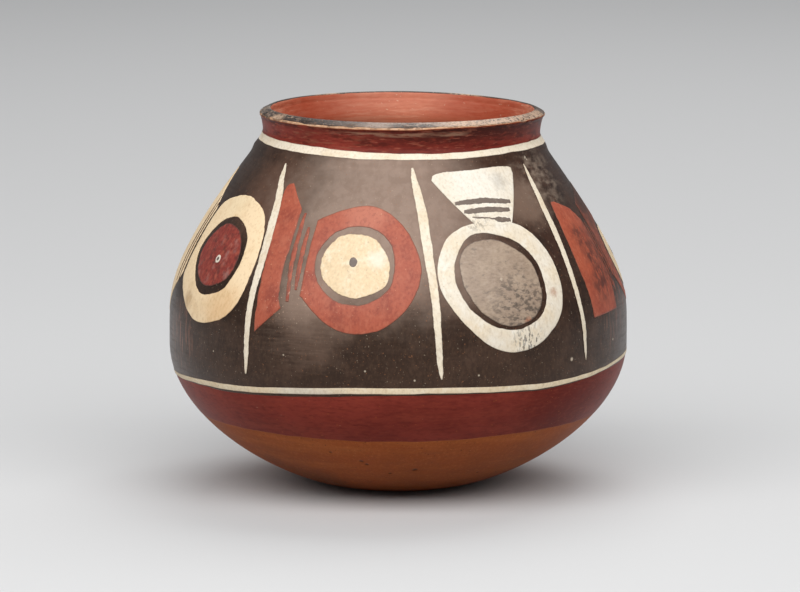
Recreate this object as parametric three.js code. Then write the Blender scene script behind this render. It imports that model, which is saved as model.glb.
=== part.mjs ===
// A hand-built pottery bowl with a rounded body, a low collar and a painted band of ringed marks.
// Millimetres, +Z up. The origin is the middle of the small flat that the bowl stands on,
// and the panel with the large red ring faces -Y.
import * as THREE from "three";

// Outer face of the clay wall
const footRadius = 20.5;
const bellyRadius = 77.5;
const bellyHeight = 48.6;
const neckHeight = 116.6;
const collarRadius = 48.7;
const collarHeight = 9.9;
const lipRise = 2.3;
const lipWidth = 3.8;
const mouthOffset = 1.4;

// Fullness of the wall's curve: the lengths of its handles, its rise at the foot in degrees,
// and how far it leans in at the neck and out at the lip
const footHandle = 26;
const lowerBellyHandle = 23;
const upperBellyHandle = 22.5;
const shoulderHandle = 49;
const collarHandle = 4;
const lipHandle = 3.5;
const footSlope = 9.6;
const shoulderLean = 36.6;
const lipFlare = 15;

// Clay thickness, and the members that the potter joined
const baseThickness = 5.4;
const wallThickness = 4.6;
const collarThickness = 4.1;
const dishWall = 44;
const wallCoils = 4;
const collarWall = 10.8;
const lipCoilWall = 4.2;
const seamGap = 0.2;
const seamBevel = 2.5;

// Slips and paint lie over the clay in thin layers
const layerGap = 0.25;
const layerThickness = 0.3;
const redBandWall = 19.8;
const equatorBelowBelly = 4.6;
const equatorTilt = 2.2;
const equatorLineWidth = 2;
const neckLineAboveNeck = 1.6;
const neckLineWidth = 2;
const innerSlipWall = 30;
const lipCoatDrop = 0.6;

// Marks lie in panels between the equator line and the neck line. They are drawn in steps:
// a step across is one degree around the bowl, and a panel is this many steps high.
const stepsUp = 83;
const dividerMargin = 5.5;
const dividerHalfWidth = 1.6;
const tipHalfWidth = 0.2;
const dotAcross = 1.4;
const dotUp = 1.7;
const barWidth = 1.8;
const strokeWidth = 1.1;

// Facets
const turns = 40;
const rowPitch = 6;
const collarPitch = 2.2;
const ringSteps = 24;
const dotSteps = 10;
const tailEdgeSteps = 10;
const tailRows = 4;
const barSteps = 5;
const dividerSteps = 10;

// Colours and finish
const clay = { color: "#9a5a36", roughness: 0.75, metalness: 0 };
const maroonSlip = { color: "#6b2a22", roughness: 0.5, metalness: 0 };
const darkSlip = { color: "#3c2d26", roughness: 0.45, metalness: 0 };
const innerSlip = { color: "#c07a58", roughness: 0.8, metalness: 0 };
const lipSlip = { color: "#4a4440", roughness: 0.6, metalness: 0 };
const creamPaint = { color: "#efe2c2", roughness: 0.6, metalness: 0 };
const tanPaint = { color: "#ecc998", roughness: 0.6, metalness: 0 };
const whitePaint = { color: "#e9dfc8", roughness: 0.6, metalness: 0 };
const redPaint = { color: "#b04f3c", roughness: 0.55, metalness: 0 };
const deepRedPaint = { color: "#8e3226", roughness: 0.55, metalness: 0 };
const greyPaint = { color: "#8c7a70", roughness: 0.6, metalness: 0 };

// Three kinds of painted mark. Each outline runs clockwise from its top, as points of steps across
// and steps up from the middle of the mark's panel.
// A tail is ruled between its near and far edges, each from its foot to its head.
const tanMark = {
  ringPaint: tanPaint,
  discPaint: deepRedPaint,
  dotPaint: whitePaint,
  outer: [
    [0, 22.6], [8, 20.5], [13.5, 16.3], [16.7, 8], [17, -3], [14.8, -14.5], [9, -20.8],
    [0, -23], [-7, -20], [-15, -11.5], [-15.8, -7], [-15.8, 12], [-14.5, 17.6], [-8, 21],
  ],
  inner: [
    [-0.5, 14.3], [6, 12.3], [10.3, 7.5], [11.6, 0.5], [10.5, -6], [7.5, -11.3],
    [0, -13.7], [-5, -11], [-9.5, -5], [-11.8, 0], [-10.8, 5.5], [-7, 11.3],
  ],
  disc: [
    [-0.5, 11.4], [5.5, 9.8], [9.3, 4.5], [10.1, -1.5], [8.5, -7], [4, -10],
    [-1, -10.6], [-6, -7.5], [-10, -0.5], [-8.8, 5.5], [-5, 10],
  ],
  dot: [1.5, -1.2],
  tail: {
    near: [[-16.6, -10], [-16.8, 2], [-16.6, 14.5]],
    far: [[-30.5, -25], [-32.5, -20], [-33, 2], [-32.5, 25], [-30.5, 30]],
  },
};

const redMark = {
  ringPaint: redPaint,
  discPaint: creamPaint,
  dotPaint: darkSlip,
  outer: [
    [0, 22.8], [7, 20.6], [13, 14], [16.5, 4], [16.3, -4], [13, -12.5], [7, -19.2],
    [0, -21.5], [-7, -19], [-14.3, -10.5], [-15.1, -7.5], [-15.1, 14.5], [-14.4, 17.3], [-8, 20.8],
  ],
  inner: [
    [-1.5, 15.2], [4, 13.8], [8, 9.5], [9.6, 3], [9.3, -2], [7.5, -7.5], [2.5, -11.5],
    [-1.5, -12], [-6, -10.3], [-10.5, -5.5], [-12.5, 1], [-12, 6.5], [-8.5, 12.5],
  ],
  disc: [
    [-1, 12.9], [4, 11], [7.4, 5], [8.2, -0.5], [7, -6], [2, -9.7],
    [-1.5, -10.2], [-6, -8], [-10, -3], [-11, 2], [-9.8, 7.5], [-6.5, 12],
  ],
  dot: [-1.8, 2.4],
  tail: {
    near: [[-20.6, -14], [-21.4, 0], [-22.2, 20]],
    far: [[-27.5, -23], [-28, -16], [-28, -6], [-28.7, 4], [-30.6, 20], [-32, 28.6]],
  },
  strokes: [
    [[-18.3, -11], [-19, -6], [-20.1, 4], [-20.6, 19]],
    [[-16.5, -6], [-17.1, 4], [-17.4, 14]],
  ],
};

// The far right panel is wider than the front one, so its tail is broader
const wideRedMark = {
  ...redMark,
  tail: {
    near: [[-21.3, -21.5], [-21.3, -3], [-21.3, 14]],
    far: [[-34, -22], [-35, -6], [-35.5, 8], [-36.3, 19.8]],
  },
};

const whiteMark = {
  ringPaint: whitePaint,
  discPaint: greyPaint,
  outer: [
    [0, 16], [8, 14.9], [14, 10.3], [17.8, 1], [17.9, -9], [15, -19], [8.5, -26.5],
    [1, -28.7], [-6, -26], [-13, -17.5], [-17.6, -8], [-18.3, 0.5], [-15, 10], [-8.5, 14.9],
  ],
  inner: [
    [-4, 12], [1, 11.2], [6.5, 8.3], [10.5, 3.2], [12.3, -2.5], [12, -11], [9.5, -17],
    [4, -20.8], [-1, -21.2], [-5, -19.3], [-10, -13.5], [-13.5, -6], [-13.6, 0.5], [-8, 10.8],
  ],
  disc: [
    [-3.4, 9.6], [2, 8.5], [7.5, 4], [10.5, -2], [10.3, -12], [7.2, -17.7],
    [2, -20], [-3, -19], [-8, -14.5], [-11.5, -7], [-12, 0], [-6.8, 9],
  ],
  tail: {
    near: [[-6.9, 16.5], [0, 16.7], [8.1, 16.5]],
    far: [[-17.3, 32], [-15, 34.6], [0, 35.6], [15, 35.6], [16.6, 32.5]],
  },
  bars: [
    [[-9.6, 23.6], [0, 24], [9.8, 22.8]],
    [[-7.9, 20.1], [0, 20.6], [8.9, 20]],
    [[-6.6, 17.6], [0, 17.8], [7.8, 17.4]],
  ],
};

// Seven panels go round the bowl: the angle of each mark's middle, and the angles of the divider
// to its right, at even steps up the wall from near the equator line to near the neck line
const panels = [
  { name: "left", mark: tanMark, angle: -60, divider: [-40.1, -40, -40.4, -42.9, -49] },
  { name: "front", mark: redMark, angle: -10.5, divider: [10.4, 9.9, 8.9, 7.4, 4.2] },
  { name: "right", mark: whiteMark, angle: 28.9, divider: [53.2, 52.8, 51.7, 52, 53.2] },
  { name: "far_right", mark: wideRedMark, angle: 91, divider: [111, 110.8, 110.5, 109.8, 108] },
  { name: "back_right", mark: whiteMark, angle: 131, divider: [154.6, 154.2, 153.5, 152.5, 151] },
  { name: "back", mark: tanMark, angle: 190.5, divider: [210.4, 210.3, 210, 208, 203] },
  { name: "back_left", mark: redMark, angle: 241.5, divider: [262, 261.6, 261, 260, 258] },
];

const bowl = new THREE.Group();
bowl.name = "pottery_bowl";

// The collar stands on the neck and is waisted between it and the lip, whose round top ends the wall
const lipHeight = neckHeight + collarHeight;
const rimHeight = lipHeight + lipRise;
const mouthRadius = collarRadius - lipWidth;

// The point a handle's length away from another, in a direction told in degrees from upright
function handle(from, length, degrees) {
  const angle = THREE.MathUtils.degToRad(degrees);
  return new THREE.Vector2(from.x + length * Math.sin(angle), from.y + length * Math.cos(angle));
}

// One curve holds the clay's outer face from the edge of the foot to the lip
function wallCurve() {
  const foot = new THREE.Vector2(footRadius, 0);
  const belly = new THREE.Vector2(bellyRadius, bellyHeight);
  const neck = new THREE.Vector2(collarRadius, neckHeight);
  const lip = new THREE.Vector2(collarRadius, lipHeight);
  const curve = new THREE.CurvePath();
  curve.add(new THREE.CubicBezierCurve(
    foot,
    handle(foot, footHandle, 90 - footSlope),
    handle(belly, -lowerBellyHandle, 0),
    belly,
  ));
  curve.add(new THREE.CubicBezierCurve(
    belly,
    handle(belly, upperBellyHandle, 0),
    handle(neck, -shoulderHandle, -shoulderLean),
    neck,
  ));
  curve.add(new THREE.CubicBezierCurve(
    neck,
    handle(neck, collarHandle, -shoulderLean),
    handle(lip, -lipHandle, lipFlare),
    lip,
  ));
  return curve;
}

// Places on the wall are told by their slant: the way up its face from the edge of the foot
const wall = wallCurve();
const [bellySlant, neckSlant, lipSlant] = wall.getCurveLengths();
const collarSlant = lipSlant - collarWall;
const lipCoilSlant = lipSlant - lipCoilWall;
const neckLineSlant = neckSlant + neckLineAboveNeck;

// The point of the wall's section at a slant, moved out from the clay's face by an offset
function section(slant, offset) {
  const share = THREE.MathUtils.clamp(slant / lipSlant, 0, 1);
  const point = wall.getPoint(share);
  const along = wall.getTangent(share);
  return new THREE.Vector2(point.x + along.y * offset, point.y - along.x * offset);
}

// The clay thins from the base to the wall, and again towards the collar
function thickness(slant) {
  const up = THREE.MathUtils.smoothstep(slant, 0, dishWall);
  const over = THREE.MathUtils.smoothstep(slant, dishWall, collarSlant);
  return baseThickness + (wallThickness - baseThickness) * up + (collarThickness - wallThickness) * over;
}

// The mouth stands a little to the right of the foot, so all above the belly leans with it
function lean(height) {
  const up = Math.max(0, (height - bellyHeight) / (rimHeight - bellyHeight));
  return mouthOffset * up * up;
}

function addPiece(name, geometry, finish) {
  const position = geometry.attributes.position;
  for (let i = 0; i < position.count; i += 1) {
    position.setX(i, position.getX(i) + lean(position.getZ(i)));
  }
  const mesh = new THREE.Mesh(geometry, new THREE.MeshStandardMaterial(finish));
  mesh.name = name;
  bowl.add(mesh);
}

// A ring turned from a closed section that runs anticlockwise
function turned(points) {
  return new THREE.LatheGeometry(points, turns).rotateX(Math.PI / 2);
}

// Evenly spaced values from low to high, told by their count or by the most they may lie apart
function spread(low, high, count) {
  return Array.from({ length: count + 1 }, (_, i) => THREE.MathUtils.lerp(low, high, i / count));
}

function rows(low, high, pitch = rowPitch) {
  return spread(low, high, Math.max(1, Math.ceil((high - low) / pitch)));
}

// A length of the clay wall, with seams that slope down to the outside
function wallRing(low, high, pitch) {
  const outside = rows(low, high, pitch).map((slant) => section(slant, 0));
  const inside = rows(low + seamBevel, high + seamBevel, pitch).map((slant) => section(slant, -thickness(slant)));
  return turned([...outside, ...inside.reverse(), outside[0]]);
}

function addBaseDish() {
  const high = dishWall - seamGap;
  const outside = rows(0, high).map((slant) => section(slant, 0));
  const inside = rows(0, high + seamBevel).map((slant) => section(slant, -thickness(slant)));
  const middle = [new THREE.Vector2(0, 0), new THREE.Vector2(0, baseThickness)];
  addPiece("base_dish", turned([middle[0], ...outside, ...inside.reverse(), middle[1]]), clay);
}

function addWallCoils() {
  const seams = spread(dishWall, collarSlant, wallCoils);
  for (let i = 0; i < wallCoils; i += 1) {
    addPiece(`wall_coil_${i + 1}`, wallRing(seams[i], seams[i + 1] - seamGap), clay);
  }
  addPiece("neck_collar", wallRing(collarSlant, lipCoilSlant - seamGap, collarPitch), clay);
}

// The lip is rounded, and its top slopes down to the outside
function lipTop(offset) {
  const over = new THREE.CubicBezierCurve(
    new THREE.Vector2(collarRadius + offset, lipHeight),
    new THREE.Vector2(collarRadius + offset, rimHeight + offset),
    new THREE.Vector2(mouthRadius + lipRise, rimHeight + offset),
    new THREE.Vector2(mouthRadius - offset, rimHeight - lipRise / 3),
  );
  return over.getPoints(5);
}

function addLipCoil() {
  const foot = section(lipCoilSlant, 0);
  const inside = section(lipCoilSlant + seamBevel, -thickness(lipCoilSlant));
  addPiece("lip_coil", turned([foot, ...lipTop(0), inside, foot]), clay);
}

// How far a layer's two faces lie from the clay: slips are the first layer, paint the second
function layerFaces(layer) {
  const under = layerGap * layer + layerThickness * (layer - 1);
  return [under, under + layerThickness];
}

// A point of the bowl's surface from degrees around it, a slant and an offset from the clay
function onWall([degrees, slant], offset) {
  const { x: radius, y: height } = section(slant, offset);
  const angle = THREE.MathUtils.degToRad(degrees);
  return [radius * Math.sin(angle), -radius * Math.cos(angle), height];
}

// A thin solid on the wall from rows of [degrees, slant] points. Seen from outside, the rows follow
// each other to the left of the way their points run. A first row of one point is a disc's middle.
function wallLayer(grid, layer, closed) {
  const [under, over] = layerFaces(layer);
  const points = grid.flat();
  const vertices = [
    ...points.flatMap((point) => onWall(point, over)),
    ...points.flatMap((point) => onWall(point, under)),
  ];
  const starts = grid.map((_, j) => grid.slice(0, j).flat().length);
  const at = (j, i) => starts[j] + (grid[j].length === 1 ? 0 : i % grid[j].length);
  const below = (index) => index + points.length;
  const faces = [];
  const quad = (a, b, c, d) => faces.push(a, b, c, a, c, d);
  const columns = grid[grid.length - 1].length - (closed ? 0 : 1);
  for (let i = 0; i < columns; i += 1) {
    for (let j = 0; j + 1 < grid.length; j += 1) {
      const corners = [at(j, i), at(j, i + 1), at(j + 1, i + 1), at(j + 1, i)];
      if (grid[j].length === 1) {
        faces.push(corners[0], corners[2], corners[3]);
        faces.push(below(corners[0]), below(corners[3]), below(corners[2]));
      } else {
        quad(...corners);
        quad(...corners.reverse().map(below));
      }
    }
    const last = grid.length - 1;
    if (grid[0].length > 1) quad(below(at(0, i)), below(at(0, i + 1)), at(0, i + 1), at(0, i));
    quad(at(last, i), at(last, i + 1), below(at(last, i + 1)), below(at(last, i)));
  }
  for (let j = 0; j + 1 < grid.length && !closed; j += 1) {
    quad(at(j, 0), at(j + 1, 0), below(at(j + 1, 0)), below(at(j, 0)));
    quad(below(at(j, columns)), below(at(j + 1, columns)), at(j + 1, columns), at(j, columns));
  }
  const geometry = new THREE.BufferGeometry();
  geometry.setAttribute("position", new THREE.Float32BufferAttribute(vertices, 3));
  geometry.setIndex(faces);
  return geometry;
}

// The line round the belly is tilted: it is highest at the right
function equatorSlant(degrees) {
  return bellySlant - equatorBelowBelly + equatorTilt * Math.sin(THREE.MathUtils.degToRad(degrees));
}

// A layer all the way round, between two edges that are told by the angle
function girdle(lowEdge, highEdge, layer, pitch = rowPitch) {
  const around = spread(0, 360, turns).slice(0, -1);
  const count = Math.ceil((highEdge(0) - lowEdge(0)) / pitch);
  const grid = spread(0, 1, count).map((share) => around.map(
    (degrees) => [degrees, THREE.MathUtils.lerp(lowEdge(degrees), highEdge(degrees), share)],
  ));
  return wallLayer(grid, layer, true);
}

function addSlips() {
  const half = layerGap / 2;
  const bandStart = bellySlant - equatorBelowBelly - redBandWall;
  addPiece("lower_red_slip", girdle(() => bandStart, (a) => equatorSlant(a) - half, 1), maroonSlip);
  addPiece("dark_ground_slip", girdle((a) => equatorSlant(a) + half, () => neckLineSlant - half, 1), darkSlip);
  addPiece("collar_red_slip", girdle(() => neckLineSlant + half, () => lipSlant - layerGap, 1, collarPitch), maroonSlip);
  const [under, over] = layerFaces(1);
  addPiece("lip_dark_coat", turned([
    ...lipTop(over),
    ...lipTop(under).reverse(),
    lipTop(over)[0],
  ]), lipSlip);
  addPiece("inner_rim_slip", turned([
    ...mouthFace(under),
    ...mouthFace(over).reverse(),
    mouthFace(under)[0],
  ]), innerSlip);
}

// The face inside the mouth, from below the neck up to just under the lip's inner edge
function mouthFace(offset) {
  const high = lipCoilSlant + seamBevel;
  const slants = [...rows(high - innerSlipWall, collarSlant).slice(0, -1), ...rows(collarSlant, high, collarPitch)];
  const face = slants.map((slant) => section(slant, -thickness(slant) - offset));
  const edge = lipTop(0).pop();
  const up = edge.clone().sub(section(high, -thickness(high))).normalize();
  const top = edge.addScaledVector(up, -lipCoatDrop);
  return [...face, new THREE.Vector2(top.x - up.y * offset, top.y + up.x * offset)];
}

function addLines() {
  const line = (centre, width) => girdle((a) => centre(a) - width / 2, (a) => centre(a) + width / 2, 2);
  addPiece("equator_line", line(equatorSlant, equatorLineWidth), creamPaint);
  addPiece("neck_line", line(() => neckLineSlant, neckLineWidth), creamPaint);
}

// Points of a mark, as told from its panel's middle, moved to their place on the wall
function inPanel(panel, points) {
  const middle = (equatorSlant(0) + neckLineSlant) / 2;
  const stepUp = (neckLineSlant - equatorSlant(0)) / stepsUp;
  return points.map(([across, up]) => [panel.angle + across, middle + up * stepUp]);
}

function throughPoints(points, count, closed = false) {
  const curve = new THREE.CatmullRomCurve3(points.map(([x, y]) => new THREE.Vector3(x, y, 0)), closed);
  const spaced = curve.getSpacedPoints(count).map(({ x, y }) => [x, y]);
  return closed ? spaced.slice(0, -1) : spaced;
}

function between(low, high, share) {
  return low.map(([x, y], i) => [
    THREE.MathUtils.lerp(x, high[i][0], share),
    THREE.MathUtils.lerp(y, high[i][1], share),
  ]);
}

function addRing(panel) {
  const inner = throughPoints(inPanel(panel, panel.mark.inner), ringSteps, true);
  const outer = throughPoints(inPanel(panel, panel.mark.outer), ringSteps, true);
  const grid = [0, 0.5, 1].map((share) => between(inner, outer, share));
  addPiece(`${panel.name}_ring`, wallLayer(grid, 2, true), panel.mark.ringPaint);
}

// A filled outline, from its middle out
function filled(outline, middle, layer) {
  const centre = outline.map(() => middle);
  return wallLayer([[middle], between(centre, outline, 0.5), outline], layer, true);
}

function addDisc(panel) {
  const outline = throughPoints(inPanel(panel, panel.mark.disc), ringSteps, true);
  const middle = between([outline[0]], [outline[ringSteps / 2]], 0.5)[0];
  addPiece(`${panel.name}_disc`, filled(outline, middle, 2), panel.mark.discPaint);
}

function degreesFor(length, slant) {
  return THREE.MathUtils.radToDeg(length / section(slant, 0).x);
}

function addDot(panel) {
  const [middle] = inPanel(panel, [panel.mark.dot]);
  const outline = spread(0, 2 * Math.PI, dotSteps).slice(0, -1).map((turn) => [
    middle[0] + degreesFor(dotAcross, middle[1]) * Math.sin(turn),
    middle[1] + dotUp * Math.cos(turn),
  ]);
  addPiece(`${panel.name}_dot`, wallLayer([[middle], outline], 3, true), panel.mark.dotPaint);
}

function addTail(panel) {
  const near = throughPoints(inPanel(panel, panel.mark.tail.near), tailEdgeSteps);
  const far = throughPoints(inPanel(panel, panel.mark.tail.far), tailEdgeSteps);
  const grid = spread(0, 1, tailRows).map((share) => between(near, far, share));
  addPiece(`${panel.name}_tail`, wallLayer(grid, 2, false), panel.mark.ringPaint);
}

// A level bar, from left to right
function addBar(name, points, width, layer, finish) {
  const middle = throughPoints(points, barSteps);
  const grid = [-0.5, 0.5].map((share) => middle.map(([x, y]) => [x, y + width * share]));
  addPiece(name, wallLayer(grid, layer, false), finish);
}

// An upright stroke, from its foot to its head, with a half width told by the share of the way up
function addStroke(name, points, halfWidth, layer, finish) {
  const middle = throughPoints(points, dividerSteps);
  const side = (way) => middle.map(([x, y], i) => [x + way * degreesFor(halfWidth(i / dividerSteps), y), y]);
  addPiece(name, wallLayer([side(1), side(-1)], layer, false), finish);
}

// A divider is widest above its middle and tapers to long pointed ends
function dividerTaper(share) {
  const swell = Math.sin(Math.PI * share ** 1.45) ** 0.35;
  return Math.max(tipHalfWidth, dividerHalfWidth * (swell || 0));
}

function addDivider(panel) {
  const low = equatorSlant(panel.divider[0]) + dividerMargin;
  const slants = spread(low, neckLineSlant - dividerMargin, panel.divider.length - 1);
  const points = panel.divider.map((degrees, i) => [degrees, slants[i]]);
  addStroke(`${panel.name}_divider`, points, dividerTaper, 2, creamPaint);
}

function addPanel(panel) {
  addRing(panel);
  addDisc(panel);
  addTail(panel);
  addDivider(panel);
  if (panel.mark.dot) addDot(panel);
  (panel.mark.bars ?? []).forEach((points, i) => {
    addBar(`${panel.name}_bar_${i + 1}`, inPanel(panel, points), barWidth, 3, darkSlip);
  });
  (panel.mark.strokes ?? []).forEach((points, i) => {
    addStroke(`${panel.name}_stroke_${i + 1}`, inPanel(panel, points), () => strokeWidth / 2, 2, redPaint);
  });
}

addBaseDish();
addWallCoils();
addLipCoil();
addSlips();
addLines();
panels.forEach(addPanel);

export default bowl;
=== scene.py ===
import bpy
import numpy as np
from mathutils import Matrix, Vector


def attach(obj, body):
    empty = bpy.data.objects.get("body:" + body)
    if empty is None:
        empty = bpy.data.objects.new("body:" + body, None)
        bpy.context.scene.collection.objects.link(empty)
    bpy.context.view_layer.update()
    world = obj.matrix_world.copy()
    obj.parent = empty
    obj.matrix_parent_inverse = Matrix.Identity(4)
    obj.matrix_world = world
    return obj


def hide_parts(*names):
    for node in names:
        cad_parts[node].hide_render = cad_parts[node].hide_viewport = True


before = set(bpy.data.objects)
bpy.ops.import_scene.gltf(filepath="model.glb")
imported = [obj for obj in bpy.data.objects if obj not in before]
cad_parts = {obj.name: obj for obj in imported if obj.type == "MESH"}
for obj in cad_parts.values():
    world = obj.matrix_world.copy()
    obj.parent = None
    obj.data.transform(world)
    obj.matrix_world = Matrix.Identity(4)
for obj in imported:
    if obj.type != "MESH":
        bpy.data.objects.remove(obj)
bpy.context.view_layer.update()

# The clay body: a pressed base dish, four coils and a collar strip, smeared together while wet.
# It is a fine orange earthenware, scraped inside and burnished outside, where the fired clay
# shows bare below the slips.
MM = 0.001
COLUMNS = 300
AROUND = np.linspace(0, 360, COLUMNS, endpoint=False)[:, None]
ROW = 1.2
FOOT_RADIUS, FOOT_HANDLE, FOOT_SLOPE = 20.5, 26, 80.4
FOOT_START = -19
BELLY_RADIUS, BELLY_HEIGHT, LOWER_HANDLE, UPPER_HANDLE = 77.5, 48.6, 23, 22.5
NECK_HEIGHT, SHOULDER_HANDLE, SHOULDER_LEAN = 116.6, 49, 36.6
COLLAR_RADIUS, COLLAR_HANDLE = 48.7, 4
LIP_HEIGHT, LIP_HANDLE, LIP_FLARE = 126.5, 3.5, 15
RIM_HEIGHT = 128.8
MOUTH_OFFSET = 1.6
BASE_THICKNESS = 5.4
WALL_THICKNESS = 4.6
COLLAR_THICKNESS = 3.4
NECK_SWELL, SWELL_SLANT, SWELL_SPREAD = 2.4, 150, 6
DISH_WALL = 44
WALL_COILS = 4
COLLAR_WALL = 10.8
LIP_COIL_WALL = 4.2
SEAM_BEVEL = 2.5
CLAY_SWELL = 0.2
COIL_RIDGE, COIL_PITCH, COIL_WANDER = 0.16, 27.9, 0.8
RIDGES_RISE, RIDGES_FADE = (10, 30), (108, 130)
NECK_RIDGE, RIDGE_BELOW, RIDGE_SPREAD = 0.45, 0.4, 1.8
COLLAR_BULGE, BULGE_ABOVE, BULGE_SPREAD = 0.45, 4.6, 3
SCRAPED, SCRAPED_FROM, SCRAPED_TO = 1.05, 60, 86
NECK_SPARED, SPARED_ABOVE, SPARED_SPREAD = 0.6, 0.6, 2.6
DIPS_FROM = 112
STRAYS = [(0.06, 2, 0.6, 0.02), (0.04, 3, -1.1, -0.05), (0.03, 7, 0, 0.13), (0.015, 13, 0, -0.31)]
MOUTH_DIPS = [
    (0, 0.12), (20, 0.1), (45, 0.16), (70, 0.35), (90, 0.5), (115, 0.85), (135, 0.75), (155, 0.45),
    (180, 0.1), (200, 0.04), (225, 0.02), (245, 0), (270, 0.02), (300, 0), (320, 0.02), (340, 0.08),
]


def smooth(value, low, high):
    """A soft step: 0 below low, 1 above high, and 3t2 - 2t3 of the share of the way between."""
    t = np.clip((value - low) / (high - low), 0, 1)
    return t * t * (3 - 2 * t)


def handle(point, length, degrees):
    """The point a handle's length away from another, in a direction told in degrees from upright."""
    return np.add(point, length * np.array([np.sin(np.radians(degrees)), np.cos(np.radians(degrees))]))


def cubic(start, rise, fall, end, steps=400):
    """A cubic curve from start to end that leaves towards rise and arrives from fall."""
    t = np.linspace(0, 1, steps)[:, None]
    shares = (1 - t) ** 3, 3 * (1 - t) ** 2 * t, 3 * (1 - t) * t ** 2, t ** 3
    return sum(share * np.array(point) for share, point in zip(shares, (start, rise, fall, end)))


def run_length(points):
    """The length along a line of points, from its start to each of them."""
    return np.concatenate([[0], np.cumsum(np.linalg.norm(np.diff(points, axis=0), axis=1))])


def wall_section():
    """Radius and height up the outer face: a flat foot, then cubic curves to belly, neck and lip."""
    foot, belly = (FOOT_RADIUS, 0), (BELLY_RADIUS, BELLY_HEIGHT)
    neck, lip = (COLLAR_RADIUS, NECK_HEIGHT), (COLLAR_RADIUS, LIP_HEIGHT)
    flat = np.linspace((0, 0), foot, 100)
    lower = cubic(foot, handle(foot, FOOT_HANDLE, FOOT_SLOPE), handle(belly, -LOWER_HANDLE, 0), belly)
    lean = handle(neck, -SHOULDER_HANDLE, -SHOULDER_LEAN)
    shoulder = cubic(belly, handle(belly, UPPER_HANDLE, 0), lean, neck)
    rise, flare = handle(neck, COLLAR_HANDLE, -SHOULDER_LEAN), handle(lip, -LIP_HANDLE, LIP_FLARE)
    collar = cubic(neck, rise, flare, lip)
    return np.vstack([flat, lower[1:], shoulder[1:], collar[1:]])


# A place on the wall is told by its slant: the way up its face from the edge of the foot
WALL = wall_section()
SLANT = run_length(WALL) - FOOT_RADIUS
ALONG = np.gradient(WALL, SLANT, axis=0)
LIP_SLANT = SLANT[-1]
COLLAR_SLANT = LIP_SLANT - COLLAR_WALL
LIP_COIL_SLANT = LIP_SLANT - LIP_COIL_WALL


def beside(along, run, line, way, out):
    """Radius and height at a length along a line, moved square to the line's way by a distance out."""
    radius, height, across, up = (np.interp(along, run, values) for values in (*line.T, *way.T))
    return radius + up * out, height - across * out


def section(slant, out):
    """Radius and height at a slant, at a distance out from the wall's outer face."""
    return beside(slant, SLANT, WALL, ALONG, out)


def bell(value, middle, spread):
    """1 at the middle, falling away to both sides as e to the minus square of the distance in spreads."""
    return np.exp(-((value - middle) / spread) ** 2)


def turned(angle, radius, height):
    """Places in metres from degrees around the bowl, radius and height. The hand-built wall strays from its
    turned form: slow waves move it in and out, the shoulder is scraped flatter up to a slight ridge at the
    neck, the collar stands out at the right, and the mouth stands to the right of the foot and dips."""
    turn = np.radians(angle)
    stray = sum(size * np.cos(count * turn + start + twist * height) for size, count, start, twist in STRAYS)
    spared = NECK_SPARED * bell(height, NECK_HEIGHT + SPARED_ABOVE, SPARED_SPREAD)
    scraped = SCRAPED * smooth(height, SCRAPED_FROM, SCRAPED_TO) * (1 - spared)
    dip = np.interp(angle % 360, *np.array(MOUTH_DIPS).T, period=360) * smooth(height, DIPS_FROM, RIM_HEIGHT)
    lean = MOUTH_OFFSET * np.clip((height - BELLY_HEIGHT) / (RIM_HEIGHT - BELLY_HEIGHT), 0, None) ** 5
    ridge = NECK_RIDGE * bell(height, NECK_HEIGHT - RIDGE_BELOW, RIDGE_SPREAD)
    bulge = COLLAR_BULGE * np.clip(np.sin(turn), 0, 1) * bell(height, NECK_HEIGHT + BULGE_ABOVE, BULGE_SPREAD)
    reach = radius + stray * smooth(height, 1, 14) - scraped + ridge + bulge
    return MM * np.stack([reach * np.sin(turn) + lean, -reach * np.cos(turn), height - dip], -1)


def on_wall(angle, slant, out):
    """Places on the outer face, at a distance out from the burnished clay."""
    return turned(angle, *section(slant, CLAY_SWELL * smooth(slant, 0, 15) + out))


def thickness(slant):
    """The clay thins in soft steps from base to wall and from wall to collar, with a bell-shaped swell where
    the collar strip was smeared over the last coil."""
    wall = BASE_THICKNESS + (WALL_THICKNESS - BASE_THICKNESS) * smooth(slant, 0, DISH_WALL)
    swell = NECK_SWELL * bell(slant, SWELL_SLANT, SWELL_SPREAD)
    return wall + (COLLAR_THICKNESS - WALL_THICKNESS) * smooth(slant, DISH_WALL, COLLAR_SLANT) + swell


def in_wall(angle, slant):
    """Places on the inner face. Low ridges stay where the coils met, as a cosine up the wall with one wave to
    a coil, which wanders up and down around the bowl."""
    wander = COIL_WANDER * np.sin(np.radians(3 * angle))
    ridge = COIL_RIDGE * np.cos(2 * np.pi * (slant - DISH_WALL) / COIL_PITCH + wander)
    ridge = ridge * smooth(slant, *RIDGES_RISE) * (1 - smooth(slant, *RIDGES_FADE))
    return turned(angle, *section(slant, -thickness(slant) + ridge))


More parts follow.
